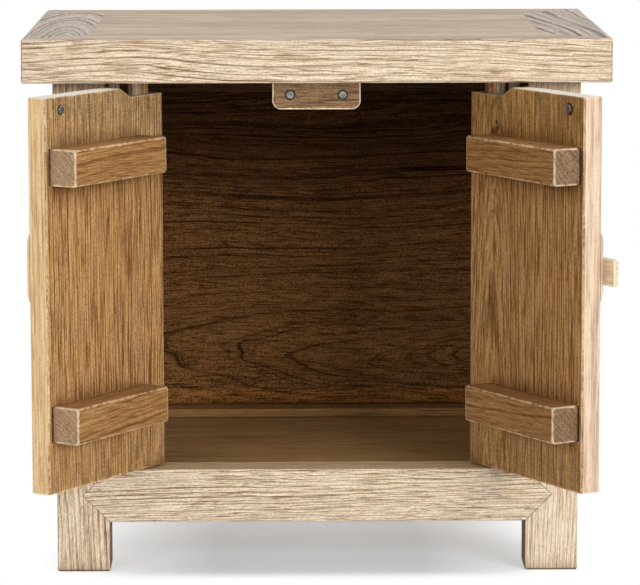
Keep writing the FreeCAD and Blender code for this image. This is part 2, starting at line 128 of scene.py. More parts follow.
def makeGrainGroup():  # growth rings cut by the board's face, short flecks and pores, and slow changes of tone
    tree, given, out = newGroup("elmGrain", ["Vector"], elm, [
        "Rings", "Pores", "Creases", "Fibre", "Flecks", "Bands", "Clouds", "Relief"])

    def drift(size, detail):  # a soft push of the rings, each way
        push = noise(tree, vectorCalc(tree, "MULTIPLY", place, elmNoise[size]), detail=detail, roughness=0.6,
                     colour=True)
        return vectorCalc(tree, "SCALE", vectorCalc(tree, "SUBTRACT", push, (0.5, 0.5, 0.5)), given[size])

    def cells(kind, length, width):  # noise in long thin cells
        shift, detail = elmCells[kind]
        cell = join(tree, calc(tree, "DIVIDE", parts[0], length), calc(tree, "DIVIDE", parts[1], width),
                    calc(tree, "DIVIDE", parts[2], width))
        cell = vectorCalc(tree, "ADD", cell, vectorCalc(tree, "ADD", spread, (shift, shift, shift)))
        return noise(tree, cell, detail=detail, roughness=elmNoise["rough"])

    def strands(turns, share, strength):  # dark lines, one to a turn, some of them faint
        peak = calc(tree, "ABSOLUTE", calc(tree, "SUBTRACT", calc(tree, "FRACT", turns), 0.5))
        peak = calc(tree, "MULTIPLY", peak, 2.0)
        full = calc(tree, "SUBTRACT", 1.0, calc(tree, "MULTIPLY", share, elmRings["edge"]))
        line = remap(tree, peak, calc(tree, "SUBTRACT", 1.0, share), full)
        turn = calc(tree, "FLOOR", calc(tree, "ADD", turns, 0.5))
        step, run = elmRings["own"]
        own = join(tree, calc(tree, "MULTIPLY", turn, step), calc(tree, "MULTIPLY", straight[0], run),
                   given["Seed"])
        own = remap(tree, noise(tree, own, detail=1.0), *elmCuts["faint"], given["Faint"], strength)
        return calc(tree, "MULTIPLY", line, own), peak

    spread = join(tree, *(calc(tree, "MULTIPLY", given["Seed"], step) for step in elmNoise["seed"]))
    place = vectorCalc(tree, "ADD", given["Vector"], spread)
    moved = vectorCalc(tree, "ADD", given["Vector"], drift("Wander", 1.0))
    moved = vectorCalc(tree, "ADD", moved, drift("Ripple", 1.5))
    parts = split(tree, moved)
    rough = split(tree, vectorCalc(tree, "ADD", moved, drift("Ragged", 1.0)))
    straight = split(tree, given["Vector"])

    across = calc(tree, "SUBTRACT", rough[1], given["Pith Across"])
    sunk = calc(tree, "ADD", rough[2], given["Pith Depth"])
    sunk = calc(tree, "ADD", sunk, calc(tree, "MULTIPLY", straight[0], given["Taper"]))
    radius = calc(tree, "SQRT", calc(tree, "ADD", calc(tree, "MULTIPLY", across, across),
                                     calc(tree, "MULTIPLY", sunk, sunk)))
    often, much = elmRings["uneven"]
    stretch = noise(tree, join(tree, calc(tree, "MULTIPLY", radius, often), given["Seed"]), detail=1.0)
    count = calc(tree, "ADD", calc(tree, "DIVIDE", radius, given["Ring Width"]),
                 calc(tree, "MULTIPLY", stretch, much))

    fleck = cells("fleck", given["Fleck Length"], given["Fleck Width"])
    fine = cells("pore", given["Pore Length"], given["Pore Width"])
    wide = cells("field", field["length"], field["width"])
    gaps = remap(tree, wide, *elmCuts["gap"], calc(tree, "SUBTRACT", 1.0, given["Break"]), 1.0)
    ring, swell = strands(count, given["Line Share"], 1.0)
    times, shift = elmRings["second"]
    second = calc(tree, "ADD", calc(tree, "MULTIPLY", count, times), shift)
    between = strands(second, calc(tree, "MULTIPLY", given["Line Share"], elmRings["secondShare"]),
                      elmRings["secondStrength"])[0]
    ring = calc(tree, "MULTIPLY", calc(tree, "MAXIMUM", ring, between), gaps)
    ring = calc(tree, "MULTIPLY", ring, remap(tree, fine, *elmCuts["ringBreak"]))
    pore = calc(tree, "MULTIPLY", remap(tree, fine, *elmCuts["pore"]), remap(tree, wide, *elmCuts["poreField"]))
    flecks = remap(tree, fleck, *elmCuts["fleck"])
    level = cells("crease", given["Crease Length"], given["Crease Width"])
    crease = calc(tree, "ABSOLUTE", calc(tree, "SUBTRACT", level, 0.5))
    crease = calc(tree, "MULTIPLY", remap(tree, crease, *elmCuts["crease"]),
                  remap(tree, fine, *elmCuts["creaseBreak"]))
    fibre = calc(tree, "ADD", remap(tree, fine, *elmCuts["fibre"], 0.0, elmMix["fine"]),
                 remap(tree, fleck, *elmCuts["fibre"], 0.0, elmMix["fleck"]))
    fibre = calc(tree, "ADD", fibre, remap(tree, wide, *elmCuts["fibre"], 0.0, elmMix["wide"]))
    fibre = calc(tree, "ADD", fibre, calc(tree, "MULTIPLY", swell, elmMix["swell"]))
    run, often = elmNoise["bands"]
    band = join(tree, calc(tree, "MULTIPLY", straight[0], run), calc(tree, "MULTIPLY", radius, often),
                given["Seed"])
    band = noise(tree, band, detail=3.0, roughness=elmNoise["rough"])
    cloud = noise(tree, vectorCalc(tree, "MULTIPLY", place, elmNoise["clouds"]), detail=3.0, roughness=0.6)
    low = calc(tree, "ADD", calc(tree, "MULTIPLY", ring, elmMix["sunk"]),
               calc(tree, "MULTIPLY", calc(tree, "MAXIMUM", pore, crease), elmMix["sunk"]))
    relief = calc(tree, "SUBTRACT", calc(tree, "MULTIPLY", flecks, elmMix["raised"]), low)
    for label, mask in (("Rings", ring), ("Pores", pore), ("Creases", crease), ("Fibre", fibre),
                        ("Flecks", flecks), ("Bands", remap(tree, band, *elmCuts["band"])),
                        ("Clouds", remap(tree, cloud, *elmCuts["cloud"])), ("Relief", relief)):
        feed(tree, mask, out[label])
    return tree


edgeMarks = {"samples": 8, "edge": (0.01, 0.09), "scale": 90.0, "patch": (0.3, 0.6), "clear": (0.45, 0.7),
             "creviceShade": (0.85, 0.3)}


def makeWearAndShadeGroup():  # where an edge stands proud and rubs pale, and painted shade where a corner or an overhang hides a face
    tree, given, out = newGroup("edgeWearAndShade", ["Vector"], {"Width": 0.0025, "Patchiness": 0.5, "Reach": 0.02},
                                ["Wear", "Crevice Shade"])
    soft = addNode(tree, "Bevel", {"Radius": given["Width"]}, samples=edgeMarks["samples"]).outputs[0]
    true = addNode(tree, "NewGeometry").outputs["True Normal"]
    turn = calc(tree, "SUBTRACT", 1.0, vectorCalc(tree, "DOT_PRODUCT", soft, true))
    edge = remap(tree, turn, *edgeMarks["edge"], smooth=True)
    shade = addNode(tree, "AmbientOcclusion", {"Distance": given["Reach"]},
                    samples=edgeMarks["samples"]).outputs["AO"]
    patch = noise(tree, vectorCalc(tree, "MULTIPLY", given["Vector"], (edgeMarks["scale"],) * 3), detail=3.0,
                  roughness=0.65)
    patch = remap(tree, patch, *edgeMarks["patch"], calc(tree, "SUBTRACT", 1.0, given["Patchiness"]), 1.0)
    clear = remap(tree, shade, *edgeMarks["clear"])
    feed(tree, calc(tree, "MULTIPLY", calc(tree, "MULTIPLY", edge, patch), clear), out["Wear"])
    # the second mask is painted shade, darker where ambient occlusion is deep
    feed(tree, remap(tree, shade, *edgeMarks["creviceShade"]), out["Crevice Shade"])
    return tree


arrisMarks = {"scale": 140.0, "reach": (0.32, 0.62, 0.5, 1.35), "edge": 0.75, "gaps": (0.3, 0.46, 0.35, 1.0)}


def makeArrisGroup():  # the rubbed line along the arrises of a square board, from its middle and half size
    tree, given, out = newGroup("boardArris", ["Vector", "Half"], {"Width": 0.002}, ["Wear"])
    inward = vectorCalc(tree, "SUBTRACT", given["Half"], vectorCalc(tree, "ABSOLUTE", given["Vector"]))
    first, second, third = split(tree, inward)
    nearer, farther = calc(tree, "MINIMUM", first, second), calc(tree, "MAXIMUM", first, second)
    side = calc(tree, "MAXIMUM", nearer, calc(tree, "MINIMUM", farther, third))
    worn = noise(tree, given["Vector"], scale=arrisMarks["scale"], detail=3.0, roughness=0.65)
    reach = calc(tree, "MULTIPLY", given["Width"], remap(tree, worn, *arrisMarks["reach"]))
    line = remap(tree, side, calc(tree, "MULTIPLY", reach, arrisMarks["edge"]), reach, 1.0, 0.0)
    feed(tree, calc(tree, "MULTIPLY", line, remap(tree, worn, *arrisMarks["gaps"])), out["Wear"])
    return tree


endMarks = {"edge": 0.45, "footShare": 0.75, "scuffScale": (70.0, 70.0, 32.0), "scuff": (0.44, 0.6),
            "sawScale": (110.0, 110.0, 750.0), "saw": (0.5, 0.62)}


def makeEndGroup():  # saw marks and scuffs near a board's two ends, by its height
    tree, given, out = newGroup("sawnEnds", ["Vector"], {"Height": 0.0, "Low": 0.0, "High": 1.0, "Reach": 0.05},
                                ["Scuff", "Saw"])
    full = calc(tree, "MULTIPLY", given["Reach"], endMarks["edge"])
    top = remap(tree, given["Height"], calc(tree, "SUBTRACT", given["High"], given["Reach"]),
                calc(tree, "SUBTRACT", given["High"], full))
    foot = remap(tree, given["Height"], calc(tree, "ADD", given["Low"], given["Reach"]),
                 calc(tree, "ADD", given["Low"], full))
    patch = noise(tree, vectorCalc(tree, "MULTIPLY", given["Vector"], endMarks["scuffScale"]), detail=4.0,
                  roughness=0.75)
    dirty = calc(tree, "MAXIMUM", top, calc(tree, "MULTIPLY", foot, endMarks["footShare"]))
    feed(tree, calc(tree, "MULTIPLY", dirty, remap(tree, patch, *endMarks["scuff"])), out["Scuff"])
    saw = noise(tree, vectorCalc(tree, "MULTIPLY", given["Vector"], endMarks["sawScale"]), detail=1.5)
    saw = remap(tree, saw, *endMarks["saw"])
    feed(tree, calc(tree, "MULTIPLY", calc(tree, "MAXIMUM", top, foot), saw), out["Saw"])
    return tree


rimMarks = {"scale": 420.0, "reach": (0.3, 0.7, 0.4, 1.4), "edge": 0.6, "depth": (0.002, 0.003)}


def makeRimGroup():  # painted shade in the recess round a screw head and a magnet cup, and the dark ring of a knot, on the face that it sits in
    tree, given, out = newGroup("rimStain", ["Vector", "Point", "Axis"], {"Radius": 0.005, "Width": 0.002},
                                ["Stain"])
    off = vectorCalc(tree, "SUBTRACT", given["Vector"], given["Point"])
    depth = vectorCalc(tree, "DOT_PRODUCT", off, given["Axis"])
    flat = vectorCalc(tree, "SUBTRACT", off, vectorCalc(tree, "SCALE", given["Axis"], depth))
    away = vectorCalc(tree, "LENGTH", flat)
    ragged = noise(tree, vectorCalc(tree, "MULTIPLY", given["Vector"], (rimMarks["scale"],) * 3), detail=2.0)
    reach = calc(tree, "MULTIPLY", given["Width"], remap(tree, ragged, *rimMarks["reach"]))
    near = remap(tree, calc(tree, "SUBTRACT", away, given["Radius"]),
                 calc(tree, "MULTIPLY", reach, rimMarks["edge"]), reach, 1.0, 0.0)
    shallow = remap(tree, calc(tree, "ABSOLUTE", depth), *rimMarks["depth"], 1.0, 0.0)
    feed(tree, calc(tree, "MULTIPLY", near, shallow), out["Stain"])
    return tree


def makeSeamGroup():  # a thin dark line where two boards meet on a plane
    tree, given, out = newGroup("seamLine", ["Vector", "Point", "Across"], {"Width": 0.0006}, ["Line"])
    away = vectorCalc(tree, "DOT_PRODUCT", vectorCalc(tree, "SUBTRACT", given["Vector"], given["Point"]),
                      given["Across"])
    feed(tree, remap(tree, calc(tree, "ABSOLUTE", away), 0.0, given["Width"], 1.0, 0.0), out["Line"])
    return tree


def makeShoulderGroup():  # the pointed line where a bottom rail runs out over a leg
    tree, given, out = newGroup("shoulderLine", [], {
        "Along": 0.0, "Height": 0.0, "Half Opening": 0.237, "Middle": 0.0879, "Rise": 0.0304, "Width": 0.0007},
        ["Line"])
    beyond = calc(tree, "SUBTRACT", calc(tree, "ABSOLUTE", given["Along"]), given["Half Opening"])
    above = calc(tree, "ABSOLUTE", calc(tree, "SUBTRACT", given["Height"], given["Middle"]))
    away = calc(tree, "ABSOLUTE", calc(tree, "SUBTRACT", calc(tree, "ADD", beyond, above), given["Rise"]))
    square = calc(tree, "MULTIPLY", away, 0.7071)  # measured square to the 45 degree line
    feed(tree, remap(tree, square, 0.0, given["Width"], 1.0, 0.0), out["Line"])
    return tree


grainGroup = makeGrainGroup()
wearAndShadeGroup = makeWearAndShadeGroup()
seamGroup = makeSeamGroup()
shoulderGroup = makeShoulderGroup()
arrisGroup = makeArrisGroup()
endGroup = makeEndGroup()
rimGroup = makeRimGroup()
print("shared effects built")


# Finishes: colours are linear. Light and shade are the clean wood, ring and pore its dark lines.

usualFinish = {"pores": 0.4, "flecks": 0.2, "fibre": 0.5, "creases": 0.4, "rough": 0.5, "relief": 0.35,
               "sheen": 0.3, "wear": 0.7}
finishes = {
    "bleached": {"light": (0.98, 0.825, 0.645), "shade": (0.84, 0.635, 0.43), "ring": (0.15, 0.07, 0.016),
                 "pore": (0.22, 0.11, 0.034), "rings": 0.95, "pores": 0.6, "fibre": 0.75, "flecks": 0.28,
                 "creases": 0.6, "rough": 0.62, "relief": 0.5, "sheen": 0.15, "wear": 0.25,
                 "wearColour": (0.97, 0.85, 0.68)},
    # painted shade: a dark copy of bleached for the legs' inner sides
    "bleachedInShade": {"light": (0.30, 0.21, 0.14), "shade": (0.20, 0.135, 0.085), "ring": (0.12, 0.075, 0.04),
                      "pore": (0.12, 0.075, 0.04), "rings": 0.6, "pores": 0.6, "fibre": 0.4, "flecks": 0.3,
                      "rough": 0.65, "relief": 0.4, "wear": 0.4, "wearColour": (0.97, 0.85, 0.68)},
    "bleachedSoft": {"light": (0.96, 0.745, 0.57), "shade": (0.68, 0.46, 0.295), "ring": (0.22, 0.11, 0.045),
                     "pore": (0.32, 0.2, 0.12), "rings": 0.45, "pores": 0.36, "fibre": 0.6, "flecks": 0.18,
                     "creases": 0.15, "rough": 0.62, "relief": 0.4, "sheen": 0.15, "wear": 0.25,
                     "wearColour": (0.97, 0.85, 0.68)},
    "greyEnd": {"light": (0.76, 0.645, 0.545), "shade": (0.60, 0.495, 0.41), "ring": (0.055, 0.04, 0.03),
                "pore": (0.30, 0.23, 0.17), "rings": 0.95, "pores": 0.45, "fibre": 0.4, "flecks": 0.08,
                "creases": 0.2, "rough": 0.55, "relief": 0.45, "wearColour": (0.70, 0.47, 0.26)},
    "greyTop": {"light": (0.93, 0.765, 0.61), "shade": (0.47, 0.355, 0.255), "ring": (0.24, 0.175, 0.12),
                "pore": (0.26, 0.19, 0.13), "rings": 0.6, "pores": 0.6, "fibre": 0.25, "flecks": 0.1,
                "creases": 0.5, "rough": 0.55, "relief": 0.25, "wearColour": (0.70, 0.47, 0.26)},
    "honey": {"light": (0.83, 0.485, 0.21), "shade": (0.41, 0.20, 0.06), "ring": (0.12, 0.038, 0.002),
              "pore": (0.115, 0.036, 0.002), "rings": 0.95, "pores": 0.62, "fibre": 0.75, "flecks": 0.38,
              "sheen": 0.15, "wear": 0.85, "wearColour": (0.80, 0.58, 0.34)},
    "battenBrown": {"light": (0.66, 0.37, 0.15), "shade": (0.34, 0.15, 0.042), "ring": (0.11, 0.038, 0.004),
                    "pore": (0.11, 0.038, 0.004), "rings": 0.75, "pores": 0.45, "fibre": 0.65, "flecks": 0.4,
                    "creases": 0.35, "rough": 0.48, "sheen": 0.15, "wearColour": (0.78, 0.58, 0.36)},
    "battenEndPale": {"light": (0.70, 0.465, 0.27), "shade": (0.33, 0.185, 0.085), "ring": (0.13, 0.065, 0.025),
                      "pore": (0.16, 0.09, 0.04), "rings": 0.6, "fibre": 0.7, "flecks": 0.28, "rough": 0.55,
                      "wear": 0.75, "wearColour": (0.84, 0.66, 0.44)},
    "battenEndDark": {"light": (0.50, 0.315, 0.18), "shade": (0.115, 0.056, 0.023),
                      "ring": (0.07, 0.035, 0.014), "pore": (0.07, 0.035, 0.014), "rings": 0.7, "fibre": 0.7,
                      "flecks": 0.34, "rough": 0.55, "wear": 0.75, "wearColour": (0.74, 0.56, 0.38)},
    "barHoney": {"light": (0.97, 0.77, 0.51), "shade": (0.97, 0.70, 0.43), "ring": (0.22, 0.11, 0.04),
                 "pore": (0.22, 0.11, 0.04), "rings": 0.28, "flecks": 0.15, "wear": 0.9,
                 "wearColour": (0.97, 0.84, 0.66)},
    "rawEnd": {"light": (0.97, 0.92, 0.84), "shade": (0.92, 0.84, 0.72), "ring": (0.5, 0.4, 0.3),
               "pore": (0.5, 0.4, 0.3), "rings": 0.2, "pores": 0.2, "flecks": 0.1, "creases": 0.1, "rough": 0.6,
               "relief": 0.2, "wear": 0.5, "wearColour": (0.97, 0.95, 0.9)},
    "paleEdge": {"light": (0.97, 0.72, 0.42), "shade": (0.86, 0.53, 0.24), "ring": (0.36, 0.18, 0.06),
                 "pore": (0.45, 0.25, 0.10), "rings": 0.5, "pores": 0.45, "fibre": 0.6, "creases": 0.3,
                 "rough": 0.58, "relief": 0.25, "sheen": 0.15, "wear": 0.6, "wearColour": (0.95, 0.74, 0.48)},
    "dark": {"light": (0.50, 0.25, 0.092), "shade": (0.115, 0.042, 0.008), "ring": (0.010, 0.004, 0.001),
             "pore": (0.016, 0.006, 0.002), "rings": 0.9, "pores": 0.5, "fibre": 0.7, "flecks": 0.68,
             "creases": 0.3, "rough": 0.6, "sheen": 0.02, "wear": 0.0, "wearColour": (0.15, 0.09, 0.04)},
    # painted shade: a darker copy of dark for the upper rails' insides under the top
    "darkInShade": {"light": (0.16, 0.073, 0.022), "shade": (0.085, 0.036, 0.010), "ring": (0.005, 0.002, 0.001),
                  "pore": (0.006, 0.003, 0.001), "rings": 0.85, "pores": 0.6, "flecks": 0.45, "rough": 0.6,
                  "sheen": 0.06, "wear": 0.0, "wearColour": (0.15, 0.09, 0.04)},
    "ledgeBrown": {"light": (0.64, 0.37, 0.135), "shade": (0.37, 0.195, 0.066), "ring": (0.10, 0.045, 0.013),
                   "pore": (0.12, 0.055, 0.018), "rings": 0.5, "relief": 0.2, "sheen": 0.2, "wear": 0.5,
                   "wearColour": (0.62, 0.42, 0.24)},
    "sillBrown": {"light": (0.97, 0.77, 0.50), "shade": (0.95, 0.65, 0.38), "ring": (0.18, 0.10, 0.05),
                  "pore": (0.18, 0.10, 0.05), "rings": 0.4, "flecks": 0.1, "creases": 0.2, "relief": 0.25,
                  "wear": 0.6, "wearColour": (0.95, 0.78, 0.55)},
    "floorBrown": {"light": (0.82, 0.51, 0.235), "shade": (0.40, 0.215, 0.075), "ring": (0.10, 0.045, 0.013),
                   "pore": (0.12, 0.055, 0.018), "rings": 0.4, "fibre": 0.6, "creases": 0.2, "relief": 0.2,
                   "sheen": 0.2, "wear": 0.15, "wearColour": (0.38, 0.25, 0.14)},
    "catchPink": {"light": (0.51, 0.32, 0.175), "shade": (0.21, 0.11, 0.048), "ring": (0.06, 0.028, 0.010),
                  "pore": (0.06, 0.028, 0.010), "rings": 0.8, "pores": 0.6, "fibre": 0.6, "flecks": 0.45,
                  "rough": 0.55, "relief": 0.3, "sheen": 0.15, "wear": 1.0, "wearColour": (0.85, 0.66, 0.44)},
}
for finish in finishes.values():
    for key, value in usualFinish.items():
        finish.setdefault(key, value)

marksAndShades = {  # how strong each mark is, and its colour; the crevice and eaves entries are painted shade, and the rim is painted shade round a recess and a knot's dark ring
    "shoulder": (0.75, (0.05, 0.028, 0.012)), "rim": (0.9, (0.012, 0.007, 0.004)),
    "Scuff": (0.7, (0.20, 0.11, 0.05)), "Saw": (0.22, (0.66, 0.44, 0.20)), "eavesShadow": (0.76, (0.36, 0.30, 0.24)),
    "creviceShade": (0.45, (0.25, 0.16, 0.09)), "seam": (None, (0.03, 0.016, 0.007))}  # a seam brings its own strength


def woodColour(tree, look, grain, wear):  # one finish's colour from the grain and wear masks
    tone = calc(tree, "MULTIPLY", calc(tree, "ADD", grain["Bands"], grain["Clouds"]), 0.5 - look["fibre"] / 2)
    tone = calc(tree, "ADD", tone, calc(tree, "MULTIPLY", grain["Fibre"], look["fibre"]))
    colour = blend(tree, tone, look["light"], look["shade"])
    for mask, strength, tint in (("Rings", "rings", "ring"), ("Pores", "pores", "pore"),
                                 ("Creases", "creases", "pore")):
        colour = blend(tree, calc(tree, "MULTIPLY", grain[mask], look[strength]), colour, look[tint])
    colour = blend(tree, remap(tree, grain["Flecks"], 0.0, 1.0, look["flecks"], 0.0), colour, look["pore"])
    return blend(tree, calc(tree, "MULTIPLY", wear, look["wear"]), colour, look["wearColour"])


# lays a real mark or a painted shade over the colour, by its kind
def markAndShade(tree, kind, mask, colour, strength=None, mode="MIX"):
    usual, tint = marksAndShades[kind]
    mask = calc(tree, "MULTIPLY", mask, usual if strength is None else strength)
    return blend(tree, mask, colour, tint, mode)


def fromPlane(tree, where, point, across):  # how far a place lies beyond a plane
    return vectorCalc(tree, "DOT_PRODUCT", vectorCalc(tree, "SUBTRACT", where, point), across)


def measure(piece, turn):  # a piece's middle and half size along its own grain, width and face
    spots = [turn @ corner.co for corner in piece.data.vertices]
    low = Vector([min(spot[axis] for spot in spots) for axis in range(3)])
    high = Vector([max(spot[axis] for spot in spots) for axis in range(3)])
    return (low + high) / 2, (high - low) / 2


surface = {"facing": (0.45, 0.8), "seamRub": (0.003, 0.005), "shoulderRub": 0.006, "shoulderTight": (0.2, 0.5),
           "insideEdge": 0.001, "smoother": 0.06, "rougher": 0.08, "bump": 0.0012}


# A board's values: "along" and "face" are the ways its grain runs and its face looks, "faces" gives other
# finishes to faces by the way they look, "adjust" and "adjust" with a finish's name change a finish on it,
# and "shade" tints it between heights, mostly with painted shade.

def woodMaterial(name, board, piece, seams=()):
    material, tree, shader = newMaterial(name)
    where, normal = (addNode(tree, "TexCoord").outputs[kind] for kind in ("Object", "Normal"))
    spot = split(tree, where)
    along, face = Vector(board["along"]).normalized(), Vector(board["face"]).normalized()
    turn = Matrix((along, face.cross(along), face))
    start = turn @ Vector(board["centre"])
    mapped = addNode(tree, "Mapping", {"Vector": where, "Location": -start,
                                       "Rotation": turn.to_euler()}).outputs[0]
    grain = useGroup(tree, grainGroup, {"Vector": mapped, **board["grain"]})
    edges = useGroup(tree, wearAndShadeGroup, {"Vector": where, **board.get("wear", {})})

    def facing(toward):  # 1 on the faces that look the given way
        turned = vectorCalc(tree, "DOT_PRODUCT", normal, Vector(toward).normalized())
        return remap(tree, turned, *surface["facing"], smooth=True)

    worn = edges["Wear"]
    if "arris" in board:
        own, half = measure(piece, turn)
        centred = vectorCalc(tree, "SUBTRACT", vectorCalc(tree, "ADD", mapped, start), own)
        line = useGroup(tree, arrisGroup, {"Vector": centred, "Half": half, "Width": board["arris"]})[0]
        worn = calc(tree, "MAXIMUM", worn, line)
    for point, across, _, _ in seams:  # boards rub pale on open edges only, not along a tight joint
        away = calc(tree, "ABSOLUTE", fromPlane(tree, where, point, across))
        worn = calc(tree, "MULTIPLY", worn, remap(tree, away, *surface["seamRub"]))
    pointed = []
    for axis, half, centre in board.get("shoulders", ()):
        place = {"Along": calc(tree, "SUBTRACT", spot[axis], centre), "Height": spot[2], "Half Opening": half}
        pointed.append(useGroup(tree, shoulderGroup, place)[0])
        tight = useGroup(tree, shoulderGroup, {**place, "Width": surface["shoulderRub"]})[0]
        worn = calc(tree, "MULTIPLY", worn, remap(tree, tight, *surface["shoulderTight"], 1.0, 0.0))

    look = {**finishes[board["look"]], **board.get("adjust", {})}
    colour = woodColour(tree, look, grain, worn)
    if "inside" in board:  # the part of a rail that stands inside the cupboard, on the upper rails in painted shade
        other, point, inward = board["inside"]
        within = remap(tree, fromPlane(tree, where, point, inward), 0.0, surface["insideEdge"])
        colour = blend(tree, within, colour, woodColour(tree, finishes[other], grain, worn))
    for other, toward in board.get("faces", ()):  # other finishes on the faces that look a given way
        other = {**finishes[other], **board.get("adjust" + other, {})}
        colour = blend(tree, facing(toward), colour, woodColour(tree, other, grain, worn))

    for point, across, width, strength in seams:
        line = useGroup(tree, seamGroup, {"Vector": where, "Point": point, "Across": across, "Width": width})[0]
        colour = markAndShade(tree, "seam", line, colour, strength)
    for line in pointed:
        colour = markAndShade(tree, "shoulder", line, colour)
    if "sawn" in board:
        low, high, reach = board["sawn"]
        marks = useGroup(tree, endGroup, {"Vector": where, "Height": spot[2], "Low": low, "High": high,
                                          "Reach": reach})
        shown = facing(face)
        for mark in ("Scuff", "Saw"):
            strength, tint = marksAndShades[mark]
            mask = calc(tree, "MULTIPLY", calc(tree, "MULTIPLY", marks[mark], strength), shown)
            colour = blend(tree, mask, colour, tint)
    # painted shade round screw and magnet recesses, and dark knots
    for point, axis, radius, width in board.get("rims", ()):
        ring = useGroup(tree, rimGroup, {"Vector": where, "Point": point, "Axis": axis, "Radius": radius,
                                         "Width": width})[0]
        colour = markAndShade(tree, "rim", ring, colour)
    for low, high, tint in board.get("shade", ()):  # painted shade changing from one height to another; on the back boards also a pale sapwood strip
        mask = calc(tree, "MULTIPLY", remap(tree, spot[2], low, high, smooth=True),
                    facing(face) if board.get("frontOnly") else 1.0)
        colour = blend(tree, mask, colour, tint, "MULTIPLY")
    if "eavesShadow" in board:  # painted shadow under the top's overhang
        colour = markAndShade(tree, "eavesShadow", remap(tree, spot[2], *board["eavesShadow"]), colour, mode="MULTIPLY")
    # painted shade in corners and under parts, from ambient occlusion
    colour = markAndShade(tree, "creviceShade", edges["Crevice Shade"], colour, board.get("creviceShade"), "MULTIPLY")

    feed(tree, colour, shader.inputs["Base Color"])
    rough = remap(tree, grain["Clouds"], 0.0, 1.0, look["rough"] - surface["smoother"],
                  look["rough"] + surface["rougher"])
    feed(tree, rough, shader.inputs["Roughness"])
    shader.inputs["Specular IOR Level"].default_value = look["sheen"]
    bump = addNode(tree, "Bump", {"Strength": look["relief"], "Distance": surface["bump"],
                                  "Height": grain["Relief"]})
    feed(tree, bump.outputs[0], shader.inputs["Normal"])
    return material


def middle(node):
    low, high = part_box(node)
    return (Vector(low) + Vector(high)) / 2


def cover(node, material):
    nodes[node].data.materials.clear()
    nodes[node].data.materials.append(material)


def dress(node, board, seams=()):  # each seam is a point, the way across it, its width and its strength
    cover(node, woodMaterial("wood_" + node, {"centre": middle(node), **board}, nodes[node], seams))


# The case

up, right, back = (0, 0, 1), (1, 0, 0), (0, 1, 0)
front, left = (0, -1, 0), (-1, 0, 0)

joints = {"frontHalf": 0.237, "sideHalf": 0.1535, "sideMiddle": 0.0719}
frontShoulder = (0, joints["frontHalf"], 0.0)
sideShoulder = (1, joints["sideHalf"], joints["sideMiddle"])

legs = {
    "leg_front_left": {"Seed": 1.3, "Pith Across": 0.07, "Pith Depth": 0.06, "Taper": 0.03,
                       "Ring Width": 0.0038, "Wander": 0.02, "Ripple": 0.003, "Pore Length": 0.05},
    "leg_front_right": {"Seed": 3.9, "Pith Across": -0.09, "Pith Depth": 0.06, "Taper": 0.05,
                        "Ring Width": 0.0036, "Wander": 0.02, "Ripple": 0.003, "Pore Length": 0.045},
    "leg_back_left": {"Seed": 5.2, "Pith Across": 0.08, "Pith Depth": 0.06, "Taper": 0.05,
                      "Ring Width": 0.0036},
    "leg_back_right": {"Seed": 7.7, "Pith Across": 0.08, "Pith Depth": 0.05, "Taper": 0.06,
                       "Ring Width": 0.0036},
}
# painted shadow at the legs' heads under the top, and painted contact shade at their feet
legShade = {"eavesShadow": (0.530, 0.558),
            "footShade": [(0.0035, 0.0, (0.22, 0.16, 0.11)), (0.02, 0.0, (0.88, 0.84, 0.80))]}
paleLeg = {"rings": 0.6, "creases": 0.35, "pores": 0.35, "flecks": 0.16, "shade": (0.88, 0.69, 0.49)}
for node, grain in legs.items():
    shoulders = (frontShoulder, sideShoulder) if "front" in node else (sideShoulder,)
    # the legs' inner sides get a painted shade
    dress(node, {"along": up, "face": front if "front" in node else back, "look": "bleached",
                 "faces": [("bleachedInShade", right if "left" in node else left)], "shoulders": shoulders,
                 "eavesShadow": legShade["eavesShadow"], "shade": legShade["footShade"], "grain": grain,
                 "adjust": paleLeg if node == "leg_front_right" else {}})

ledgeTop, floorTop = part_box("rail_back_bottom")[1][2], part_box("floor_board_1")[1][2]
deepSeam = {"floor": (0.002, 0.9), "ledge": (0.003, 0.9)}  # the dark lines at the back rail's foot and head
railGrain = {"Pith Across": 0.11, "Pith Depth": 0.05, "Taper": 0.03, "Ring Width": 0.0036, "Wander": 0.02,
             "Ripple": 0.004, "Pore Length": 0.042, "Pore Width": 0.001, "Break": 0.35, "Crease Length": 0.06,
             "Crease Width": 0.0022}
railFaces = {"rail_front_bottom": (right, front), "rail_back_bottom": (right, back),
             "rail_back_top": (right, back), "rail_left_bottom": (back, left), "rail_left_top": (back, left),
             "rail_right_bottom": (back, right), "rail_right_top": (back, right)}
frontRail = {"faces": [("sillBrown", up), ("ledgeBrown", back)],
             "adjust": {"light": (0.98, 0.84, 0.655), "shade": (0.96, 0.755, 0.53), "rings": 1.0,
                        "creases": 0.75}}
for number, (node, (along, face)) in enumerate(railFaces.items()):
    side, level = node.split("_")[1:]
    shoulders = ()
    if level == "bottom" and side != "back":
        shoulders = (frontShoulder,) if side == "front" else (sideShoulder,)
    board = frontRail
    if side != "front":
        plane = tuple(middle("back_board_lower" if side == "back" else "panel_" + side))
        # inside, the upper rails take a painted shade and the lower rails the ledge's brown
        board = {"inside": ("darkInShade" if level == "top" else "ledgeBrown", plane,
                            tuple(-way for way in face))}
    dress(node, {"along": along, "face": face, "look": "bleached", **board, "shoulders": shoulders,
                 "grain": {**railGrain, "Seed": 11.7 + 1.7 * number}},
          [((0.0, 0.0, floorTop), up, *deepSeam["floor"])] if node == "rail_back_bottom" else ())

panelGrain = {"Pith Across": 0.09, "Pith Depth": 0.10, "Taper": 0.08, "Ring Width": 0.006, "Line Share": 0.2,
              "Wander": 0.04, "Ripple": 0.005}
for node, face, seed in (("panel_left", left, 31.0), ("panel_right", right, 34.3)):
    dress(node, {"along": up, "face": face, "look": "dark", "faces": [("bleached", face)],
                 "grain": {**panelGrain, "Seed": seed}})

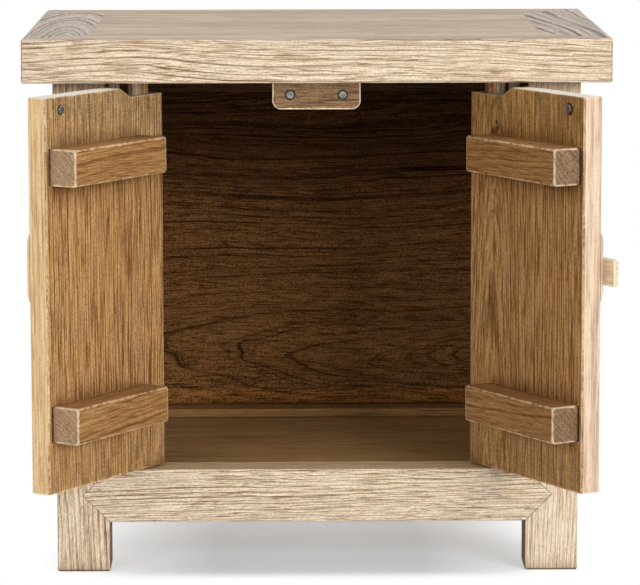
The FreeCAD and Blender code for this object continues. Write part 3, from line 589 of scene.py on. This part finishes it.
sapwood = {"height": 0.017, "fade": 0.004, "tint": (1.45, 1.35, 1.1)}  # a pale strip at the foot
sapTop = ledgeTop + sapwood["height"]
sapAndUpperShade = [(sapTop + sapwood["fade"], sapTop, sapwood["tint"]), (0.20, 0.34, (0.86, 0.82, 0.80)),
         (0.33, 0.46, (0.36, 0.33, 0.31))]  # above it painted shade, darker up to the top
backGrain = {"Break": 0.15, "Faint": 0.45, "Pore Length": 0.04, "Crease Length": 0.12, "Crease Width": 0.004,
             "Fleck Length": 0.0024, "Fleck Width": 0.0014}
backBoards = {
    "back_board_lower": {"Seed": 41.0, "Pith Across": -0.045, "Pith Depth": 0.035, "Taper": -0.13,
                         "Ring Width": 0.011, "Line Share": 0.15, "Wander": 0.06, "Ripple": 0.006},
    "back_board_upper": {"Seed": 46.3, "Pith Across": 0.16, "Pith Depth": 0.06, "Taper": 0.05,
                         "Ring Width": 0.009, "Line Share": 0.24, "Wander": 0.05, "Ripple": 0.005},
}
for node, grain in backBoards.items():
    dress(node, {"along": right, "face": front, "look": "dark", "faces": [("bleached", back)], "shade": sapAndUpperShade,
                 "frontOnly": True, "grain": {**backGrain, **grain}},
          [((0.0, 0.0, ledgeTop), up, *deepSeam["ledge"])])

floorGrain = {"Pith Across": 0.12, "Pith Depth": 0.1, "Taper": 0.02, "Ring Width": 0.006, "Wander": 0.02,
              "Ripple": 0.004, "Pore Length": 0.08}
for number in range(3):
    dress("floor_board_%d" % (number + 1), {"along": right, "face": up, "look": "floorBrown",
                                            "grain": {**floorGrain, "Seed": 51.0 + 4.1 * number}})
dress("floor_batten", {"along": back, "face": up, "look": "bleached",
                       "grain": {"Seed": 61.0, "Pith Depth": 0.08}})
print("case dressed")


# The top

top = {"half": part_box("top_member_front")[1][0], "front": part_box("top_member_front")[0][1],
       "back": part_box("top_member_back")[1][1], "lineWidth": 0.0006, "line": 0.6}
slant = math.sqrt(0.5)
endGrain = {"Ragged": 0.0003, "Break": 0.2, "Faint": 0.5}
topPieces = {  # each with its grain's way and its mitred corners
    "top_member_front": (right, [(-1, -1), (1, -1)], {
        "Seed": 71.0, "Pith Across": 0.11, "Pith Depth": 0.12, "Taper": 0.02, "Wander": 0.03, "Ripple": 0.004,
        "Crease Length": 0.08, "Crease Width": 0.0022, "Pore Length": 0.05, "Pore Width": 0.001,
        "Ring Width": 0.0038, "Line Share": 0.22, "Break": 0.2, "Ragged": 0.0004}),
    "top_member_back": (right, [(-1, 1), (1, 1)], {
        "Seed": 73.4, "Pith Across": -0.11, "Pith Depth": 0.12, "Taper": 0.02, "Wander": 0.03, "Ripple": 0.004,
        "Pore Length": 0.06}),
    "top_panel": (right, [], {
        "Seed": 76.1, "Pith Across": 0.30, "Pith Depth": 0.15, "Taper": 0.02, "Wander": 0.03, "Ripple": 0.003,
        "Pore Length": 0.06}),
    "top_member_left": (back, [(-1, -1), (-1, 1)], {
        "Seed": 79.2, "Pith Across": -0.008, "Pith Depth": 0.008, "Taper": 0.16, "Ring Width": 0.0075,
        "Line Share": 0.3, "Wander": 0.03, "Ripple": 0.003, **endGrain}),
    "top_member_right": (back, [(1, -1), (1, 1)], {
        "Seed": 82.9, "Pith Across": 0.09, "Pith Depth": 0.09, "Taper": 0.07, "Ring Width": 0.0085,
        "Line Share": 0.34, "Wander": 0.02, "Ripple": 0.004, **endGrain}),
}
for node, (along, ends, grain) in topPieces.items():
    seams = [((x * top["half"], top["front"] if y < 0 else top["back"], 0.0), (slant, -x * y * slant, 0.0),
              top["lineWidth"], top["line"]) for x, y in ends]
    dress(node, {"along": along, "face": up, "look": "bleached",
                 "faces": [("greyEnd" if along == back else "greyTop", up)],
                 "grain": {"Ring Width": 0.0042, **grain}}, seams)
dress("top_batten", {"along": back, "face": up, "look": "dark", "grain": {"Seed": 88.0}})
print("top dressed")


# The catch

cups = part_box("catch_cups")
catch = {"cupRadius": (cups[1][2] - cups[0][2]) / 2, "rim": 0.0018, "arris": 0.0014}
# painted shade in the recess round each magnet cup
catchRims = [((side * (cups[1][0] - catch["cupRadius"]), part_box("catch_block")[0][1], middle("catch_cups")[2]),
              back, catch["cupRadius"], catch["rim"]) for side in (-1, 1)]
dress("catch_block", {"along": right, "face": front, "look": "catchPink", "rims": catchRims,
                      "arris": catch["arris"],
                      "grain": {"Seed": 91.0, "Pith Across": 0.03, "Pith Depth": 0.06, "Taper": 0.03,
                                "Ring Width": 0.004, "Wander": 0.015, "Ripple": 0.004}})


worked = {"patch": (0.45, 0.65), "tone": (0.3, 0.7), "smoother": 0.08, "rougher": 0.12, "fine": 2500.0,
          "relief": 0.25, "bump": 0.0003}


def metalMaterial(name, values):
    material, tree, shader = newMaterial(name)
    where = addNode(tree, "TexCoord").outputs["Object"]
    spots = noise(tree, where, scale=values["spots"], detail=4.0, roughness=0.65)
    feed(tree, blend(tree, remap(tree, spots, *worked["patch"]), values["bright"], values["dull"]),
         shader.inputs["Base Color"])
    feed(tree, remap(tree, spots, *worked["tone"], values["rough"] - worked["smoother"],
                     values["rough"] + worked["rougher"]), shader.inputs["Roughness"])
    shader.inputs["Metallic"].default_value = 1.0
    fine = noise(tree, where, scale=worked["fine"], detail=2.0)
    bump = addNode(tree, "Bump", {"Strength": worked["relief"], "Distance": worked["bump"], "Height": fine})
    feed(tree, bump.outputs[0], shader.inputs["Normal"])
    return material


metals = {
    "catch_magnets": {"bright": (0.30, 0.29, 0.27), "dull": (0.10, 0.09, 0.075), "rough": 0.42, "spots": 260.0},
    "catch_cups": {"bright": (0.06, 0.055, 0.05), "dull": (0.02, 0.018, 0.015), "rough": 0.5, "spots": 300.0},
    "catch_screws": {"bright": (0.35, 0.33, 0.30), "dull": (0.15, 0.13, 0.11), "rough": 0.4, "spots": 300.0},
    "left_strike_screw": {"bright": (0.38, 0.36, 0.33), "dull": (0.12, 0.10, 0.085), "rough": 0.4,
                          "spots": 350.0},
    "right_strike_screw": {"bright": (0.24, 0.23, 0.22), "dull": (0.07, 0.06, 0.055), "rough": 0.42,
                           "spots": 350.0},
}
for node, values in metals.items():
    cover(node, metalMaterial("metal_" + node, values))
print("catch dressed")


# The doors

hinges = {joint["child"]: joint for joint in frame["joints"]}
doors = {
    "left": {"turn": -1.0, "side": 1.0, "edge": "paleEdge", "end": "battenEndPale", "rim": 0.0012, "knots": [],
             "shadowLift": (1.5, 1.78, 2.25), "honey": {}, "batten": {}, "battenSeeds": (109.8, 113.1),
             "plateSeed": 118.3},
    "right": {"turn": 1.0, "side": -1.0, "edge": "bleachedSoft", "end": "battenEndDark", "rim": 0.003,
              "knots": [(0.0276, 0.5168, 0.0032)], "shadowLift": (1.42, 1.52, 1.5),
              "honey": {"light": (0.78, 0.445, 0.19), "shade": (0.375, 0.172, 0.045)},
              "batten": {"light": (0.62, 0.335, 0.135), "shade": (0.265, 0.11, 0.027)},
              "battenSeeds": (139.8, 143.1), "plateSeed": 148.3}}
stile = {"pinInset": 0.0247, "width": 0.0835, "seam": (0.0008, 0.8), "sawn": 0.06}
battenShadow = {"rise": -0.035, "full": 0.002, "tint": (0.66, 0.61, 0.54)}  # painted shadow, darkest at the upper batten's foot and fading down
shadowLift = {"rise": -0.004, "full": -0.002}  # and the painted shadow lifted again from its head up, with a small change of tone above
# the painted shade under the battens is made stronger on the doors
doorFace = {"along": up, "arris": 0.0013, "creviceShade": 0.8, "frontOnly": True}
batten = {"look": "battenBrown", "arris": 0.0021, "wear": {"Width": 0.0045, "Patchiness": 0.6}}
battenSeam = (0.0012, 0.85)
plate = {"adjustbleached": {"light": (0.80, 0.60, 0.40), "shade": (0.62, 0.42, 0.25)},
         "wear": {"Width": 0.003}}
slantGrain = {"Fleck Length": 0.003, "Fleck Width": 0.002, "Pore Width": 0.0022}
leafGrain = {
    "left": {"Seed": 101.0, "Pith Across": 0.22, "Pith Depth": 0.12, "Taper": 0.02, "Wander": 0.015,
             "Ripple": 0.0016},
    "right": {"Seed": 131.0, "Pith Across": 0.24, "Pith Depth": 0.10, "Taper": 0.015, "Wander": 0.012,
              "Ripple": 0.0014}}
for grain in leafGrain.values():
    grain.update({"Ring Width": 0.0042, "Pore Length": 0.05, "Line Share": 0.36, "Crease Length": 0.045,
                  "Crease Width": 0.004, **slantGrain})
stileGrain = {
    "left": {"Seed": 104.1, "Pith Across": -0.18, "Pith Depth": 0.08, "Taper": 0.02, "Ring Width": 0.0045,
             "Wander": 0.015, "Ripple": 0.0016, "Pore Length": 0.05, **slantGrain},
    "right": {"Seed": 134.1, "Pith Across": 0.0, "Pith Depth": 0.03, "Taper": 0.07, "Ring Width": 0.0075,
              "Line Share": 0.22, "Wander": 0.04, "Ripple": 0.004, "Pore Length": 0.04, **slantGrain}}
battenGrain = {"Pith Across": 0.06, "Pith Depth": 0.05, "Taper": 0.05, "Ring Width": 0.0048, "Wander": 0.025,
               "Ripple": 0.004, "Pore Length": 0.03}


def openAngle(side):  # from shut to the photographed pose
    return math.radians(hinges[side + "_door"]["range_deg"][1]) * doors[side]["turn"]


for side, door in doors.items():
    angle = openAngle(side)
    wide = Vector((math.cos(angle) * door["side"], math.sin(angle) * door["side"], 0.0))  # hinge to free edge
    inner = Vector((-math.sin(angle), math.cos(angle), 0.0))
    pin = Vector((*hinges[side + "_door"]["pos_m"][:2], 0.0))
    seam = (tuple(pin + wide * (stile["width"] - stile["pinInset"])), tuple(wide), *stile["seam"])
    low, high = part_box(side + "_leaf")
    screw, screwBox = middle(side + "_strike_screw"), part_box(side + "_strike_screw")
    leafFace = max(corner.co.dot(inner) for corner in nodes[side + "_leaf"].data.vertices)
    seat = screw + inner * (leafFace - screw.dot(inner))
    # painted shade in the recess round the strike screw
    screwRim = (seat, inner, (screwBox[1][2] - screwBox[0][2]) / 2, door["rim"])
    beamFoot, beamHead = (corner[2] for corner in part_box(side + "_batten_upper"))
    # painted shadow under the upper batten on the inner face, lifted again at its head
    shadeBand = [(beamFoot + battenShadow["rise"], beamFoot + battenShadow["full"], battenShadow["tint"]),
             (beamHead + shadowLift["rise"], beamHead + shadowLift["full"], door["shadowLift"])]
    knots = []
    for away, height, size in door["knots"]:  # small dark knots, by their distance from the pin
        spot = pin + wide * away + Vector((0.0, 0.0, height))
        knots.append((spot + inner * (leafFace - spot.dot(inner)), inner, 0.0, size))
    shared = {**doorFace, "face": inner, "adjusthoney": door["honey"], "shade": shadeBand,
              "sawn": (low[2], high[2], stile["sawn"])}
    dress(side + "_leaf", {**shared, "look": door["edge"], "wear": {"Reach": 0.03}, "grain": leafGrain[side],
                           "faces": [("rawEnd", up), ("bleached", -inner), ("honey", inner)],
                           "rims": [screwRim]}, [seam])
    dress(side + "_stile", {**shared, "look": "bleached", "faces": [("rawEnd", up), ("honey", inner)],
                            "grain": stileGrain[side], "rims": knots}, [seam])
    for level, seed in zip(("upper", "lower"), door["battenSeeds"]):
        dress(side + "_batten_" + level, {
            **batten, "along": wide, "face": inner, "faces": [(door["end"], wide)],
            "grain": {**battenGrain, "Seed": seed}, "adjust": door["batten"]},
            [(tuple(seat), tuple(inner), *battenSeam)])
    dress(side + "_plate", {
        **plate, "along": up, "face": -inner, "look": door["edge"], "faces": [("bleached", -inner)],
        "grain": {**leafGrain[side], "Seed": door["plateSeed"], "Pith Across": 0.05},
        "centre": middle(side + "_leaf")})

angle = openAngle("right")
barWay = Vector((-math.cos(angle), -math.sin(angle), 0.0))
barFace = Vector((math.sin(angle), -math.cos(angle), 0.0))
dress("right_closing_bar", {"along": barWay, "face": barFace, "look": "barHoney", "arris": 0.0016,
                            "grain": {"Seed": 151.0}})
dress("right_bar_dowels", {"along": barFace, "face": up, "look": "barHoney", "grain": {"Seed": 153.0}})
print("doors dressed")


# Floor, light and camera

studio = {"floorSize": 30.0, "paper": (0.82, 0.875, 0.93), "ambient": 0.32,
          # painted light on the floor: a glow that lifts the shadow, growing from the middle out and from front
          # to back
          "lift": 0.35, "sideLift": 0.3, "liftFrom": 0.12, "liftTo": 0.27,
          "frontLift": -0.15, "backLift": 0.1, "leanFrom": -0.12, "leanTo": 0.11,
          # where it turns white, round the cabinet's own ground
          "halfWide": 0.28, "halfDeep": 0.2135, "middle": 0.0719, "fadeTo": 0.05}


def seenRays(tree):  # 1 for what the camera and the metal's reflections see
    rays = addNode(tree, "LightPath").outputs
    return calc(tree, "MAXIMUM", rays["Is Camera Ray"], rays["Is Glossy Ray"])


bpy.ops.mesh.primitive_plane_add(size=studio["floorSize"], location=(0.0, 0.0, 0.0))
floor = bpy.context.object
floor.name = "studio_floor"
paper, tree = newMaterial("studio_paper")[:2]
tree.nodes.clear()
seen = seenRays(tree)
matt = addNode(tree, "BsdfDiffuse", {"Color": (*studio["paper"], 1.0)}).outputs[0]
place = addNode(tree, "TexCoord").outputs["Object"]
spot = split(tree, place)
glow = remap(tree, calc(tree, "ABSOLUTE", spot[0]), studio["liftFrom"], studio["liftTo"], studio["lift"],
             studio["lift"] + studio["sideLift"])
glow = calc(tree, "ADD", glow, remap(tree, spot[1], studio["leanFrom"], studio["leanTo"], studio["frontLift"],
                                     studio["backLift"]))
# painted light: the floor glows for the camera where the cabinet shades it
lift = addNode(tree, "Emission", {"Strength": calc(tree, "MULTIPLY", seen, glow)}).outputs[0]
near = addNode(tree, "AddShader", {0: matt, 1: lift}).outputs[0]
white = addNode(tree, "Emission", {"Strength": 1.0}).outputs[0]
away = vectorCalc(tree, "ABSOLUTE", vectorCalc(tree, "SUBTRACT", place, (0.0, studio["middle"], 0.0)))
away = vectorCalc(tree, "SUBTRACT", away, (studio["halfWide"], studio["halfDeep"], 0.0))
away = vectorCalc(tree, "LENGTH", vectorCalc(tree, "MAXIMUM", away))
fade = calc(tree, "MULTIPLY", remap(tree, away, 0.0, studio["fadeTo"], smooth=True), seen)
mixed = addNode(tree, "MixShader", {0: fade, 1: near, 2: white}).outputs[0]
addNode(tree, "OutputMaterial", {"Surface": mixed})
floor.data.materials.append(paper)

world = bpy.data.worlds.new("studio_air")
bpy.context.scene.world = world
world.use_nodes = True
tree = world.node_tree
tree.nodes.clear()
air, white = (addNode(tree, "Background", {"Color": (1.0, 1.0, 1.0, 1.0), "Strength": strength}).outputs[0]
              for strength in (studio["ambient"], 1.0))
mixed = addNode(tree, "MixShader", {0: seenRays(tree), 1: air, 2: white}).outputs[0]
addNode(tree, "OutputWorld", {"Surface": mixed})

lamps = {
    "right_key": {"place": (2.3, -3.5, 1.15), "size": (1.8, 1.6), "power": 105.0},
    "left_fill": {"place": (-2.2, -3.6, 1.2), "size": (1.8, 1.6), "power": 40.0},
    "top_soft": {"place": (0.0, 0.7, 2.9), "size": (3.0, 2.0), "power": 34.0},
}
lampAim = Vector((0.0, -0.1, 0.3))
for name, lamp in lamps.items():
    light = bpy.data.lights.new(name, "AREA")
    light.shape = "RECTANGLE"
    light.size, light.size_y = lamp["size"]
    light.energy = lamp["power"]
    piece = bpy.data.objects.new(name, light)
    bpy.context.scene.collection.objects.link(piece)
    piece.location = lamp["place"]
    piece.rotation_euler = (lampAim - piece.location).to_track_quat("-Z", "Y").to_euler()

view = {"place": (-0.03973, -4.30883, 0.92719), "lens": 209.25, "down": 0.1443, "turn": 0.0103, "roll": -0.0017,
        "sensor": 36.0, "farthest": 100.0}
cameraData = bpy.data.cameras.new("photo_camera")
cameraData.lens = view["lens"]
cameraData.sensor_width = view["sensor"]
cameraData.sensor_fit = "HORIZONTAL"
cameraData.clip_end = view["farthest"]
camera = bpy.data.objects.new("photo_camera", cameraData)
bpy.context.scene.collection.objects.link(camera)
forward = Vector((math.sin(view["turn"]), math.cos(view["turn"]), 0.0))
ahead = forward * math.cos(view["down"]) - Vector((0.0, 0.0, math.sin(view["down"])))
across = Vector((math.cos(view["turn"]), -math.sin(view["turn"]), 0.0))
over = across.cross(ahead)
level = across * math.cos(view["roll"]) + over * math.sin(view["roll"])
plumb = over * math.cos(view["roll"]) - across * math.sin(view["roll"])
camera.matrix_world = Matrix.Translation(view["place"]) @ Matrix((level, plumb, -ahead)).transposed().to_4x4()
bpy.context.scene.camera = camera
bpy.context.scene.view_settings.view_transform = "Standard"
print("studio set")
